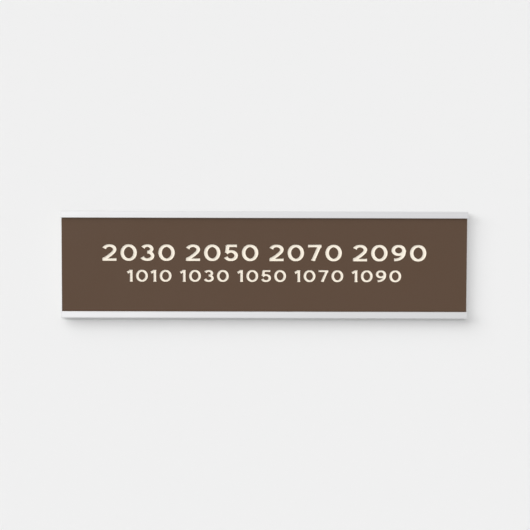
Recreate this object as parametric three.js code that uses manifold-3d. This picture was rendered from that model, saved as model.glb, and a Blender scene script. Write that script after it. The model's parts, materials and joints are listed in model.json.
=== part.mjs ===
// A door name plate. An extruded aluminium channel is held to the door by foam pads and two countersunk
// screws, and a two-ply plastic insert slides into the channel from either end and covers the screws.
//
// Millimetres, +Z up. X runs along the plate, the reader stands on the -Y side, and the plane Y = 0 is the
// surface of the door. The origin is the middle of the plate on that surface.
import * as THREE from "three";
import { mergeVertices, toCreasedNormals } from "three/addons/utils/BufferGeometryUtils.js";
import Module from "manifold-3d";

const wasm = await Module();
wasm.setup();

// Driving dimensions of the insert
const insertLength = 202.6;
const insertHeight = 50.6;
const coreThickness = 1.35;
const facePlyThickness = 0.25;
const bondLine = 0.02; // glue between two bonded pieces

// Driving dimensions of the channel round the insert
const endInset = 0.3; // the channel's saw-cut ends stand this far past the insert's
const sideClearance = 0.15;
const backClearance = 0.08;
const frontClearance = 0.12;
const webThickness = 1.8;
const edgeWallThickness = 1.25;
const lipThickness = 1.2;
const lipOverlap = 2.1; // each lip hides this much of the slot
const railHeight = 6.0; // flat band along each edge of the web that the insert runs on
const reliefDepth = 0.3; // the web between the rails lies this much deeper
const outerCornerRadius = 0.55;
const backCornerRadius = 0.3;
const lipEdgeRadius = 0.35;
const reliefFilletRadius = 0.25;
const scribeGrooveWidth = 0.9; // V grooves along the back
const scribeGrooveDepth = 0.35;
const scribeGrooveOffset = 19.0; // from the middle of the back to each groove

// Driving dimensions of the foam pads
const padLength = 25.4;
const padHeight = 25.4;
const padThickness = 1.0;
const padEdgeMargin = 4.9; // bare web between an end pad and the channel's end

// Driving dimensions of the screws and their holes
const screwSpacing = 101.6;
const screwLength = 12.7;
const shankDiameter = 2.8;
const headDiameter = 5.2;
const headRimHeight = 0.12;
const headSetback = 0.05; // the head's face lies this far below the web's
const tipLength = 3.0;
const countersinkAngle = THREE.MathUtils.degToRad(82);
const countersinkClearance = 0.1; // between the head's cone and its seat, across the screw
const holeDiameter = 3.2;
const recessWidth = 2.9;
const recessThickness = 0.75;
const recessDepth = 1.1;
const recessTaper = 0.4; // the recess's width at its floor, as a share of its width at the head's face
const screwTurns = { left_screw: 24, right_screw: -38 }; // how far each cross recess is turned, in degrees

// Fineness of round shapes, and how far a cutter runs past what it opens
const cornerSegments = 6;
const roundSegments = 40;
const creaseAngle = THREE.MathUtils.degToRad(30);
const cutterReach = 1.0;

// Sizes that follow from the driving ones
const insertThickness = coreThickness + bondLine + facePlyThickness;
const channelLength = insertLength + 2 * endInset;
const slotHeight = insertHeight + 2 * sideClearance;
const slotDepth = insertThickness + backClearance + frontClearance;
const channelHeight = slotHeight + 2 * edgeWallThickness;
const endPadCentre = channelLength / 2 - padEdgeMargin - padLength / 2;
const coneSlope = Math.tan(countersinkAngle / 2); // how fast a countersunk cone narrows

// Planes across the plate's depth, where a smaller Y is nearer to the reader
const channelBackY = -(padThickness + bondLine);
const railY = channelBackY - webThickness;
const reliefY = railY + reliefDepth;
const coreBackY = railY - backClearance;
const facePlyBackY = coreBackY - coreThickness - bondLine;
const headFaceY = reliefY + headSetback;

const materials = {
  satinAluminium: new THREE.MeshStandardMaterial({ color: 0xd9dadd, roughness: 0.38, metalness: 1.0 }),
  brownPly: new THREE.MeshStandardMaterial({ color: 0x614e40, roughness: 0.55, metalness: 0.0 }),
  creamCore: new THREE.MeshStandardMaterial({ color: 0xfdf3e0, roughness: 0.5, metalness: 0.0 }),
  foam: new THREE.MeshStandardMaterial({ color: 0xe6e5df, roughness: 0.95, metalness: 0.0 }),
  zincSteel: new THREE.MeshStandardMaterial({ color: 0xb9bcc2, roughness: 0.3, metalness: 1.0 }),
};

// Turns a closed geometry into a solid that can be joined and cut.
function solidFrom(geometry) {
  const bare = geometry.clone();
  bare.deleteAttribute("normal");
  bare.deleteAttribute("uv");
  const merged = mergeVertices(bare, 1e-5);
  return new wasm.Manifold(
    new wasm.Mesh({
      numProp: 3,
      vertProperties: new Float32Array(merged.attributes.position.array),
      triVerts: new Uint32Array(merged.index.array),
    }),
  );
}

// Turns a solid back into a geometry.
function geometryFrom(solid) {
  const { numProp, vertProperties, triVerts } = solid.getMesh();
  const vertexCount = vertProperties.length / numProp;
  const positions = new Float32Array(vertexCount * 3);
  for (let i = 0; i < vertexCount; i++) {
    positions.set(vertProperties.subarray(i * numProp, i * numProp + 3), i * 3);
  }
  return new THREE.BufferGeometry()
    .setAttribute("position", new THREE.BufferAttribute(positions, 3))
    .setIndex(new THREE.BufferAttribute(triVerts, 1));
}

// A named mesh with soft normals on its round faces and crisp ones at its edges.
function part(name, geometry, material) {
  const mesh = new THREE.Mesh(toCreasedNormals(geometry, creaseAngle), material);
  mesh.name = name;
  return mesh;
}

// A closed outline through corners given as [x, y, radius]. A corner that has a radius is square, and an arc
// rounds it.
function roundedShape(corners) {
  const shape = new THREE.Shape();
  corners.forEach(([x, y, radius], i) => {
    const corner = new THREE.Vector2(x, y);
    const towards = ([otherX, otherY]) => new THREE.Vector2(otherX, otherY).sub(corner).normalize();
    const before = towards(corners.at(i - 1));
    const after = towards(corners[(i + 1) % corners.length]);
    const start = corner.clone().addScaledVector(before, radius);
    if (i === 0) shape.moveTo(start.x, start.y);
    else shape.lineTo(start.x, start.y);
    if (radius > 0) {
      const centre = start.clone().addScaledVector(after, radius);
      const [fromAngle, toAngle] = [after, before].map((v) => Math.atan2(-v.y, -v.x));
      shape.absarc(centre.x, centre.y, radius, fromAngle, toAngle, before.cross(after) > 0);
    }
  });
  return shape;
}

// The channel's section: x is depth from its back towards the reader, y is height. The upper half's corners run
// from the middle of the back, over the upper lip, to the middle of the web, and the lower half mirrors them.
function channelSection() {
  const halfHeight = channelHeight / 2;
  const halfSlot = slotHeight / 2;
  const lipTip = halfSlot - lipOverlap;
  const railEnd = halfSlot - railHeight;
  const lipBack = webThickness + slotDepth;
  const lipFront = lipBack + lipThickness;
  const upperHalf = [
    [0, scribeGrooveOffset - scribeGrooveWidth / 2, 0],
    [scribeGrooveDepth, scribeGrooveOffset, 0],
    [0, scribeGrooveOffset + scribeGrooveWidth / 2, 0],
    [0, halfHeight, backCornerRadius],
    [lipFront, halfHeight, outerCornerRadius],
    [lipFront, lipTip, Math.min(lipEdgeRadius, lipThickness / 2)],
    [lipBack, lipTip, 0],
    [lipBack, halfSlot, 0],
    [webThickness, halfSlot, 0],
    [webThickness, railEnd, 0],
    [webThickness - reliefDepth, railEnd, Math.min(reliefFilletRadius, reliefDepth)],
  ];
  const lowerHalf = upperHalf.map(([depth, height, radius]) => [depth, -height, radius]).reverse();
  return roundedShape([...upperHalf, ...lowerHalf]);
}

// What a drill and a countersink take out of the web at one screw. The cone runs on to its own point.
function screwHoleCutter(centreX) {
  const seatRadius = headDiameter / 2 + countersinkClearance + (headSetback + headRimHeight) * coneSlope;
  const mouthRadius = seatRadius + cutterReach * coneSlope;
  const coneHeight = mouthRadius / coneSlope;
  const mouthY = reliefY - cutterReach;
  const cone = new THREE.ConeGeometry(mouthRadius, coneHeight, roundSegments);
  cone.translate(centreX, mouthY + coneHeight / 2, 0);
  const drillLength = channelBackY + cutterReach - mouthY;
  const drill = new THREE.CylinderGeometry(holeDiameter / 2, holeDiameter / 2, drillLength, roundSegments);
  drill.translate(centreX, mouthY + drillLength / 2, 0);
  return solidFrom(cone).add(solidFrom(drill));
}

// The extruded channel: its section drawn out along X, then drilled and countersunk for the screws.
function channel(screwCentres) {
  const drawn = new THREE.ExtrudeGeometry(channelSection(), {
    depth: channelLength,
    bevelEnabled: false,
    curveSegments: cornerSegments,
  });
  // The section's x becomes -Y and its y becomes +Z, so it is drawn out along -X.
  const turn = new THREE.Matrix4().makeBasis(
    new THREE.Vector3(0, -1, 0),
    new THREE.Vector3(0, 0, 1),
    new THREE.Vector3(-1, 0, 0),
  );
  drawn.applyMatrix4(turn).translate(channelLength / 2, channelBackY, 0);
  const drilled = screwCentres.reduce((solid, x) => solid.subtract(screwHoleCutter(x)), solidFrom(drawn));
  return part("channel", geometryFrom(drilled), materials.satinAluminium);
}

// One of the two tapering blades that cut a screw's cross recess, about the screw's own axis.
function recessBlade(turnAngle) {
  const taperPerMillimetre = (1 - recessTaper) / recessDepth;
  const bladeLength = recessDepth + cutterReach;
  const frontScale = 1 + cutterReach * taperPerMillimetre;
  const blade = new THREE.CylinderGeometry(recessTaper, frontScale, bladeLength, 4);
  const halfSideToRadius = Math.SQRT2; // of the four-sided cylinder, once a side faces each axis
  return blade
    .rotateY(Math.PI / 4)
    .scale((recessWidth / 2) * halfSideToRadius, 1, (recessThickness / 2) * halfSideToRadius)
    .rotateY(turnAngle)
    .translate(0, bladeLength / 2 - cutterReach, 0);
}

// A countersunk wood screw with a cross recess. Its head's face is the plane y = 0 of its own frame, and it
// points along +y, into the door. The plain shank stands for the thread's outer diameter.
function screw(name, turnDegrees) {
  const headRadius = headDiameter / 2;
  const shankRadius = shankDiameter / 2;
  const coneEnd = headRimHeight + (headRadius - shankRadius) / coneSlope;
  const profile = [
    [0, 0],
    [headRadius, 0],
    [headRadius, headRimHeight],
    [shankRadius, coneEnd],
    [shankRadius, screwLength - tipLength],
    [0, screwLength],
  ].map(([radius, y]) => new THREE.Vector2(radius, y));
  const turnAngle = THREE.MathUtils.degToRad(turnDegrees);
  const body = [turnAngle, turnAngle + Math.PI / 2].reduce(
    (solid, angle) => solid.subtract(solidFrom(recessBlade(angle))),
    solidFrom(new THREE.LatheGeometry(profile, roundSegments)),
  );
  return part(name, geometryFrom(body), materials.zincSteel);
}

// A flat rectangular sheet whose back lies on the plane y = 0 of its own frame.
function sheet(name, length, thickness, height, material) {
  const block = new THREE.BoxGeometry(length, thickness, height);
  return part(name, block.translate(0, -thickness / 2, 0), material);
}

// The two bonded plies that slide in the channel as one.
function insert() {
  const core = sheet("insert_core", insertLength, coreThickness, insertHeight, materials.creamCore);
  core.position.y = coreBackY;
  const facePly = sheet("insert_face_ply", insertLength, facePlyThickness, insertHeight, materials.brownPly);
  facePly.position.y = facePlyBackY;
  return new THREE.Group().add(core, facePly);
}

// The foam pads that stick the channel's back to the door.
function foamPads() {
  const centres = { left_foam_pad: -endPadCentre, centre_foam_pad: 0, right_foam_pad: endPadCentre };
  const pads = new THREE.Group();
  for (const [name, x] of Object.entries(centres)) {
    const pad = sheet(name, padLength, padThickness, padHeight, materials.foam);
    pad.position.x = x;
    pads.add(pad);
  }
  return pads;
}

// Both screws, each in its hole behind the insert.
function screws(screwCentres) {
  const pair = new THREE.Group();
  Object.entries(screwTurns).forEach(([name, turnDegrees], i) => {
    const one = screw(name, turnDegrees);
    one.position.set(screwCentres[i], headFaceY, 0);
    pair.add(one);
  });
  return pair;
}

const screwCentres = [-screwSpacing / 2, screwSpacing / 2];
const namePlate = new THREE.Group();
namePlate.add(channel(screwCentres), insert(), foamPads(), screws(screwCentres));

export default namePlate;
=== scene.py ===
"""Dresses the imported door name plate: its finishes, its engraving, its fixings and the studio around it.

Every length is in metres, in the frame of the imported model: X runs along the plate, the reader stands on
the -Y side, the door's surface is the plane Y = 0, and Z is up. Each piece takes its place from the CAD
node that it stands for.
"""

import functools
import json
import logging
import math
from dataclasses import dataclass, field
from enum import Enum
from typing import Any, Callable, Iterable, Sequence

import bmesh
import bpy
from mathutils import Matrix, Vector

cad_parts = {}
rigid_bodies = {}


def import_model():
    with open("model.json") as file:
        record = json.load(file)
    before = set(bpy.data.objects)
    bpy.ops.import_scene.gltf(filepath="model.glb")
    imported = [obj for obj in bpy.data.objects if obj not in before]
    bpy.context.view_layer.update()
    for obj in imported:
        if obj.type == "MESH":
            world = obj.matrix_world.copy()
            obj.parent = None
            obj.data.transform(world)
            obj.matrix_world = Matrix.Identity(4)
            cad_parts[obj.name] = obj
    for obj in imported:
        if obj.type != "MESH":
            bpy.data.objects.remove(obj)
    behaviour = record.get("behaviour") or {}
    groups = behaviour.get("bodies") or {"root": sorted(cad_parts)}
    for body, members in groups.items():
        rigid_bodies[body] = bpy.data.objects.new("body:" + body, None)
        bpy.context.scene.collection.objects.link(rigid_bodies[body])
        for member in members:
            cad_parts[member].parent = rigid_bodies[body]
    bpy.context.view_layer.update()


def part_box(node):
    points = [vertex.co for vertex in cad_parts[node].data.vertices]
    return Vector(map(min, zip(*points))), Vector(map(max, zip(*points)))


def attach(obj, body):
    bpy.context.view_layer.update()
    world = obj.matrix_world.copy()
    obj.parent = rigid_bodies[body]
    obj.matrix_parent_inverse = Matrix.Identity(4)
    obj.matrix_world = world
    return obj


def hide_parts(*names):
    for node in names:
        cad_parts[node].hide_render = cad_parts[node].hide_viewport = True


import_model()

MM = 0.001
# Edges that turn by more than the first angle are shaded sharp, and cut edges by more than the second
# are eased.
CREASE = math.radians(32)
EASED_FROM = math.radians(50)
# The middle part of a noise, which is stretched to a whole mask.
LINE_RANGE = (0.3, 0.7)
SPECKLE_RANGE = (0.32, 0.68)
log = logging.getLogger("name_plate")

Point = tuple[float, float]
Triple = tuple[float, float, float]
Piece = bpy.types.Object
Tree = bpy.types.NodeTree
Socket = bpy.types.NodeSocket


class Body(Enum):
    """The rigid bodies that pieces ride on."""

    HOLDER = "holder"
    INSERT = "insert"


class Slot(Enum):
    """The record's material slots."""

    ALUMINIUM = "satin_aluminium"
    FACE = "brown_face"
    CORE = "cream_core"
    FOAM = "white_foam"
    SCREW = "zinc_screw"


# Node trees


class Graph:
    """A shader or geometry node tree under construction."""

    def __init__(self, tree: Tree) -> None:
        """Wraps a tree."""
        self.tree = tree

    def add(self, kind: str, inputs: dict[int | str, Any] | None = None, **settings: Any) -> bpy.types.Node:
        """Adds a node.

        Args:
            kind: The node's type name.
            inputs: A value, or a socket to link, for each input named or numbered.
            **settings: The node's own properties.

        Returns:
            The new node.
        """
        node = self.tree.nodes.new(kind)
        for name, value in settings.items():
            setattr(node, name, value)
        for key, value in (inputs or {}).items():
            if isinstance(value, Socket):
                self.tree.links.new(value, node.inputs[key])
            else:
                node.inputs[key].default_value = value
        return node

    def get(self, kind: str, inputs: dict[int | str, Any] | None = None, **settings: Any) -> Socket:
        """Adds a node in the same way, and gives its first output."""
        return self.add(kind, inputs, **settings).outputs[0]

    def math(self, operation: str, first: Any, second: Any = 0.0) -> Socket:
        """Works out a sum, a product or the like from values or sockets."""
        return self.get("ShaderNodeMath", {0: first, 1: second}, operation=operation)

    def vector(self, x: Any, y: Any, z: Any = 0.0) -> Socket:
        """Joins three values or sockets into a vector."""
        return self.get("ShaderNodeCombineXYZ", {0: x, 1: y, 2: z})

    def parts(self, vector: Socket) -> Iterable[Socket]:
        """Splits a vector into its three values."""
        return self.add("ShaderNodeSeparateXYZ", {0: vector}).outputs

    def remap(self, value: Socket, target: Point, source: Point = (0.0, 1.0)) -> Socket:
        """Maps the source range to the target range, with both ends clamped."""
        limits = {1: source[0], 2: source[1], 3: target[0], 4: target[1]}
        return self.get("ShaderNodeMapRange", {0: value, **limits})

    def blend(self, factor: Socket, first: Socket | Triple, second: Socket | Triple) -> Socket:
        """Mixes two colours.

        Args:
            factor: The second colour's share.
            first: The colour at a factor of 0.
            second: The colour at a factor of 1.

        Returns:
            The mixed colour.
        """
        ends = {6: first, 7: second}
        colours = {key: end if isinstance(end, Socket) else (*end, 1.0) for key, end in ends.items()}
        return self.add("ShaderNodeMix", {0: factor, **colours}, data_type="RGBA").outputs[2]

    def effect(self, group: Tree, place: Socket, **values: float) -> Socket:
        """Places a shared effect that reads some coordinates, and gives its mask."""
        inputs = {name.capitalize(): value for name, value in values.items()}
        return self.get("ShaderNodeGroup", {"Vector": place, **inputs}, node_tree=group)

    def relief(self, height: Socket, depth: float) -> Socket:
        """Turns a mask into a bumped normal, whose depth is that of a mask of 1."""
        return self.get("ShaderNodeBump", {"Height": height, "Distance": depth})

    def shape_of(self, held: Socket) -> Socket:
        """The geometry of an object that a tree is given."""
        return self.add("GeometryNodeObjectInfo", {"Object": held}).outputs["Geometry"]

    def boolean(self, operation: str, first: Socket, second: Socket, crossing: bool = True) -> Socket:
        """Joins two solids, or takes the second out of the first.

        Args:
            operation: UNION or DIFFERENCE.
            first: One solid.
            second: The other solid.
            crossing: True if either of them passes through itself.

        Returns:
            The solid that results.
        """
        inputs = {"Mesh 2": second, "Self Intersection": crossing}
        node = self.add("GeometryNodeMeshBoolean", inputs, operation=operation, solver="EXACT")
        self.tree.links.new(first, node.inputs["Mesh 2" if operation == "UNION" else "Mesh 1"])
        return node.outputs[0]

    def scattered(self, inputs: dict[str, Any]) -> Socket:
        """Sets a shape on every point, as real mesh."""
        return self.get("GeometryNodeRealizeInstances", {0: self.get("GeometryNodeInstanceOnPoints", inputs)})

    def deliver(self, shape: Socket, finish: Socket) -> Tree:
        """Ends a geometry tree with a piece that is all real mesh, in its finish.

        Args:
            shape: The piece's shape.
            finish: Its material.

        Returns:
            The tree.
        """
        whole = self.get("GeometryNodeRealizeInstances", {0: shape})
        painted = self.get("GeometryNodeSetMaterial", {0: whole, "Material": finish})
        self.add("NodeGroupOutput", {"Geometry": painted})
        return self.tree


def new_group(
    kind: str, name: str, output: str, output_kind: str, **inputs: Sequence[str]
) -> tuple[Graph, Callable[[str], Socket]]:
    """Starts a node group with one output.

    Args:
        kind: Shader or Geometry.
        name: The group's name.
        output: The output's name.
        output_kind: The output's kind, such as Float.
        **inputs: The inputs' names, by their kind.

    Returns:
        The group's graph, and a function that gives the socket of one of its inputs by name.
    """
    graph = Graph(bpy.data.node_groups.new(name, f"{kind}NodeTree"))
    sockets = [(label, value_kind, "INPUT") for value_kind, labels in inputs.items() for label in labels]
    for label, value_kind, way in sockets + [(output, output_kind, "OUTPUT")]:
        graph.tree.interface.new_socket(label, in_out=way, socket_type=f"NodeSocket{value_kind}")
    source = graph.add("NodeGroupInput")
    return graph, lambda label: source.outputs[label]


def piece_group(name: str, **inputs: Sequence[str]) -> tuple[Graph, Callable[[str], Socket]]:
    """Starts a geometry tree that makes a piece in a finish, as new_group does."""
    everything = {"Geometry": ["Geometry"], **inputs, "Material": ["Finish"]}
    return new_group("Geometry", name, "Geometry", "Geometry", **everything)


# Shared shader effects


@functools.cache
def drawn_lines() -> Tree:
    """Makes the fine lines that an extrusion die leaves along X.

    Returns:
        A group with inputs Vector, Pitch and Run, and an output Mask from 0 to 1.
    """
    inputs = {"Vector": ["Vector"], "Float": ["Pitch", "Run"]}
    graph, source = new_group("Shader", "drawn_lines", "Mask", "Float", **inputs)
    steps = graph.vector(source("Run"), source("Pitch"), source("Pitch"))
    scaled = graph.get("ShaderNodeVectorMath", {0: source("Vector"), 1: steps}, operation="DIVIDE")
    lines = graph.get("ShaderNodeTexNoise", {"Vector": scaled, "Scale": 1.0, "Detail": 3.0})
    graph.add("NodeGroupOutput", {"Mask": graph.remap(lines, (0.0, 1.0), LINE_RANGE)})
    return graph.tree


@functools.cache
def speckle() -> Tree:
    """Makes an even mottle, as fine as a moulded stipple or as broad as handling marks.

    Returns:
        A group with inputs Vector, Size and Detail, and an output Mask from 0 to 1.
    """
    inputs = {"Vector": ["Vector"], "Float": ["Size", "Detail"]}
    graph, source = new_group("Shader", "speckle", "Mask", "Float", **inputs)
    noise = {
        "Vector": source("Vector"),
        "Scale": graph.math("DIVIDE", 1.0, source("Size")),
        "Detail": source("Detail"),
    }
    spots = graph.get("ShaderNodeTexNoise", noise)
    graph.add("NodeGroupOutput", {"Mask": graph.remap(spots, (0.0, 1.0), SPECKLE_RANGE)})
    return graph.tree


# Finishes


@dataclass(frozen=True)
class Finish:
    """A procedural finish.

    Attributes:
        name: The material's name.
        colour: Its main linear colour.
        roughness: Its mean roughness.
        metallic: 1 for a bare metal.
        gloss: The strength of its gloss.
    """

    name: str
    colour: Triple
    roughness: float
    metallic: float = 0.0
    gloss: float = 0.5

    def shade(self, graph: Graph, place: Socket) -> tuple[Socket, ...]:
        """Builds what changes over the surface.

        Args:
            graph: The material's graph.
            place: The Object coordinates.

        Returns:
            The colour, the roughness and, where there is relief, the normal.
        """
        raise NotImplementedError

    def spread(self, graph: Graph, mask: Socket, share: float) -> tuple[Socket, Socket]:
        """Varies the colour and the roughness with one mask.

        Args:
            graph: The material's graph.
            mask: The mask, from 0 to 1.
            share: How far each varies, as a share of its mean.

        Returns:
            The colour and the roughness.
        """
        darker, lighter = (tuple(c * k for c in self.colour) for k in (1.0 - share, 1.0 + share))
        rougher, finer = self.roughness * (1.0 + share), self.roughness * (1.0 - share)
        return graph.blend(mask, darker, lighter), graph.remap(mask, (rougher, finer))

    @functools.cached_property
    def material(self) -> bpy.types.Material:
        """Makes the material, once.

        Returns:
            The material.
        """
        made = bpy.data.materials.new(self.name)
        made.use_nodes = True
        graph = Graph(made.node_tree)
        shader = made.node_tree.nodes["Principled BSDF"]
        shader.inputs["Metallic"].default_value = self.metallic
        shader.inputs["Specular IOR Level"].default_value = self.gloss
        place = graph.add("ShaderNodeTexCoord").outputs["Object"]
        for name, socket in zip(("Base Color", "Roughness", "Normal"), self.shade(graph, place)):
            made.node_tree.links.new(socket, shader.inputs[name])
        return made


@dataclass(frozen=True)
class Handled(Finish):
    """A finish with broad handling marks in its gloss.

    Attributes:
        smudge_size: The size of the marks.
        smudge_detail: How ragged they are.
        smudge_range: How far they change the roughness each way.
    """

    smudge_size: float = 14 * MM
    smudge_detail: float = 4.0
    smudge_range: float = 0.025

    def smudged(self, graph: Graph, place: Socket, roughness: Socket) -> Socket:
        """Adds the marks to a roughness.

        Args:
            graph: The material's graph.
            place: The Object coordinates.
            roughness: The roughness without them.

        Returns:
            The roughness with them.
        """
        marks = graph.effect(speckle(), place, size=self.smudge_size, detail=self.smudge_detail)
        return graph.math("ADD", roughness, graph.remap(marks, (-self.smudge_range, self.smudge_range)))


@dataclass(frozen=True)
class SatinAluminium(Handled):
    """Clear-anodised extruded aluminium, with faint die lines along its length.

    Attributes:
        line_pitch: The distance between the lines.
        line_run: How far one runs before it fades.
        line_depth: Their depth.
        line_share: How far they change the colour and the gloss.
    """

    line_pitch: float = 0.22 * MM
    line_run: float = 90 * MM
    line_depth: float = 0.0006 * MM
    line_share: float = 0.035

    def shade(self, graph: Graph, place: Socket) -> tuple[Socket, ...]:
        """Draws lines in the colour, the gloss and the relief, and smudges in the gloss.

        Args:
            graph: The material's graph.
            place: The Object coordinates.

        Returns:
            The colour, the roughness and the normal.
        """
        lines = graph.effect(drawn_lines(), place, pitch=self.line_pitch, run=self.line_run)
        colour, roughness = self.spread(graph, lines, self.line_share)
        return colour, self.smudged(graph, place, roughness), graph.relief(lines, self.line_depth)


@dataclass(frozen=True)
class MatteCap(Handled):
    """The matte cap of engraving stock, with a fine even stipple.

    Attributes:
        stipple_size: The size of the stipple.
        stipple_depth: Its depth.
        stipple_share: How far it changes the colour and the gloss.
    """

    stipple_size: float = 0.16 * MM
    stipple_depth: float = 0.004 * MM
    stipple_share: float = 0.04

    def shade(self, graph: Graph, place: Socket) -> tuple[Socket, ...]:
        """Puts the stipple in the colour, the gloss and the relief, and smudges in the gloss.

        Args:
            graph: The material's graph.
            place: The Object coordinates.

        Returns:
            The colour, the roughness and the normal.
        """
        stipple = graph.effect(speckle(), place, size=self.stipple_size, detail=2.0)
        colour, roughness = self.spread(graph, stipple, self.stipple_share)
        return colour, self.smudged(graph, place, roughness), graph.relief(stipple, self.stipple_depth)


@dataclass(frozen=True)
class PaleCore(Finish):
    """The pale core of engraving stock, with the fine marks of the cutter that laid it bare.

    Attributes:
        mark_size: The size of the marks.
        mark_depth: Their depth.
        mark_range: How far they change the roughness each way.
        tint: The colour that shows faintly in them.
        tint_share: How strongly it shows.
    """

    mark_size: float = 0.12 * MM
    mark_depth: float = 0.003 * MM
    mark_range: float = 0.06
    tint: Triple = (0.93, 0.84, 0.70)
    tint_share: float = 0.16

    def shade(self, graph: Graph, place: Socket) -> tuple[Socket, ...]:
        """Leaves cutter marks in the gloss and the relief, with a slight change of tint.

        Args:
            graph: The material's graph.
            place: The Object coordinates.

        Returns:
            The colour, the roughness and the normal.
        """
        marks = graph.effect(speckle(), place, size=self.mark_size, detail=3.0)
        colour = graph.blend(graph.remap(marks, (self.tint_share, 0.0)), self.colour, self.tint)
        ends = (self.roughness + self.mark_range, self.roughness - self.mark_range)
        return colour, graph.remap(marks, ends), graph.relief(marks, self.mark_depth)


@dataclass(frozen=True)
class PadFoam(Finish):
    """Closed-cell foam between two films of adhesive.

    Attributes:
        cell_size: The size of the foam's cells.
        cell_depth: How deep the cut cells are.
        cell_wall: The distances from a cell's middle between which its wall rises.
        painted_pit_shade: The tone of a cell's bottom, as a share of the foam's: painted shade in the pit.
        film_colour: The colour of the films.
        film_thickness: Their thickness.
        film_edge: How far a film's edge is blurred each way.
        film_roughness: A film's roughness where it is dry and where it is wetted.
        wetted_size: The size of the wetted patches.
        wetted_shade: Their tone, as a share of the film's.
        thickness: The whole pad's thickness, from the door's surface.
    """

    cell_size: float = 0.28 * MM
    cell_depth: float = 0.06 * MM
    cell_wall: Point = (0.15, 0.75)
    painted_pit_shade: float = 0.82
    film_colour: Triple = (0.84, 0.79, 0.67)
    film_thickness: float = 0.07 * MM
    film_edge: float = 0.01 * MM
    film_roughness: Point = (0.58, 0.4)
    wetted_size: float = 1.8 * MM
    wetted_shade: float = 0.93
    thickness: float = 1.0 * MM

    def shade(self, graph: Graph, place: Socket) -> tuple[Socket, ...]:
        """Puts cells with painted shade in their pits in the foam, and at both faces a smooth tan film with
        unevenly wetted adhesive.

        Args:
            graph: The material's graph.
            place: The Object coordinates.

        Returns:
            The colour, the roughness and the normal.
        """
        _, depth, _ = graph.parts(place)
        from_middle = graph.math("ABSOLUTE", graph.math("ADD", depth, self.thickness / 2))
        edge = self.thickness / 2 - self.film_thickness
        film = graph.remap(from_middle, (0.0, 1.0), (edge - self.film_edge, edge + self.film_edge))
        bare = graph.math("SUBTRACT", 1.0, film)
        inputs = {"Vector": place, "Scale": 1.0 / self.cell_size}
        cells = graph.get("ShaderNodeTexVoronoi", inputs, feature="SMOOTH_F1")
        pits = graph.remap(cells, (0.0, 1.0), self.cell_wall)
        # Painted shade: the foam is darker at the bottom of each cell, where the relief below sinks the pits.
        foam = graph.blend(pits, tuple(c * self.painted_pit_shade for c in self.colour), self.colour)
        wetted = graph.effect(speckle(), place, size=self.wetted_size, detail=5.0)
        damp = tuple(c * self.wetted_shade for c in self.film_colour)
        colour = graph.blend(film, foam, graph.blend(wetted, self.film_colour, damp))
        matte = graph.math("MULTIPLY", bare, self.roughness)
        film_gloss = graph.math("MULTIPLY", film, graph.remap(wetted, self.film_roughness))
        normal = graph.relief(graph.math("MULTIPLY", pits, bare), self.cell_depth)
        return colour, graph.math("ADD", matte, film_gloss), normal


@dataclass(frozen=True)
class ZincPlate(Finish):
    """Bright zinc plate on steel, a little clouded.

    Attributes:
        cloud_size: The size of the clouds.
        cloud_share: How far they change the colour and the gloss.
        grain_size: The size of the grain.
        grain_depth: Its depth.
    """

    cloud_size: float = 0.9 * MM
    cloud_share: float = 0.12
    grain_size: float = 0.09 * MM
    grain_depth: float = 0.001 * MM

    def shade(self, graph: Graph, place: Socket) -> tuple[Socket, ...]:
        """Puts clouds in the colour and the gloss, and a fine grain in the relief.

        Args:
            graph: The material's graph.
            place: The Object coordinates.

        Returns:
            The colour, the roughness and the normal.
        """
        clouds = graph.effect(speckle(), place, size=self.cloud_size, detail=4.0)
        grain = graph.effect(speckle(), place, size=self.grain_size, detail=2.0)
        return *self.spread(graph, clouds, self.cloud_share), graph.relief(grain, self.grain_depth)


@dataclass(frozen=True)
class PalePaint(Finish):
    """The flat pale paint of the door and the floor, seen only from its painted side.

    Attributes:
        mottle_size: The size of its faint mottle.
        mottle_share: How far the mottle changes the colour and the gloss.
    """

    mottle_size: float = 0.7
    mottle_share: float = 0.002

    def shade(self, graph: Graph, place: Socket) -> tuple[Socket, ...]:
        """The faintest change of tone from place to place."""
        mottle = graph.effect(speckle(), place, size=self.mottle_size, detail=1.0)
        return self.spread(graph, mottle, self.mottle_share)

    @functools.cached_property
    def material(self) -> bpy.types.Material:
        """Makes the paint clear from behind, so that the back of the plate can be looked at.

        Returns:
            The material.
        """
        made = super().material
        nodes = made.node_tree.nodes
        graph = Graph(made.node_tree)
        behind = graph.add("ShaderNodeNewGeometry").outputs["Backfacing"]
        clear = graph.get("ShaderNodeBsdfTransparent")
        mix = graph.get("ShaderNodeMixShader", {0: behind, 1: nodes["Principled BSDF"].outputs[0], 2: clear})
        made.node_tree.links.new(mix, nodes["Material Output"].inputs[0])
        return made


ALUMINIUM = SatinAluminium("clear_anodised_aluminium", (0.72, 0.72, 0.73), 0.33, metallic=1.0)
BROWN_CAP = MatteCap(
    "brown_cap",
    (0.0885, 0.0543, 0.0353),
    0.5,
    gloss=0.3,
    smudge_size=22 * MM,
    smudge_detail=5.0,
    smudge_range=0.04,
)
CREAM_CORE = PaleCore("pale_core", (0.96, 0.885, 0.765), 0.55, gloss=0.3)
WHITE_FOAM = PadFoam("pad_foam", (0.78, 0.77, 0.73), 0.9, gloss=0.2)
ZINC = ZincPlate("zinc_plate", (0.60, 0.61, 0.65), 0.3, metallic=1.0)
DOOR_PAINT = PalePaint("door_paint", (0.875, 0.875, 0.875), 0.9, gloss=0.0)
FLOOR_PAINT = PalePaint("floor_paint", (0.885, 0.885, 0.885), 0.9, gloss=0.0)


# Mesh making


def as_object(name: str, data: bpy.types.ID) -> Piece:
    """Links a new object that holds some data to the scene.

    Args:
        name: The object's name.
        data: Its mesh, curve, lamp or camera.

    Returns:
        The object, at the origin.
    """
    made = bpy.data.objects.new(name, data)
    bpy.context.scene.collection.objects.link(made)
    return made


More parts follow.
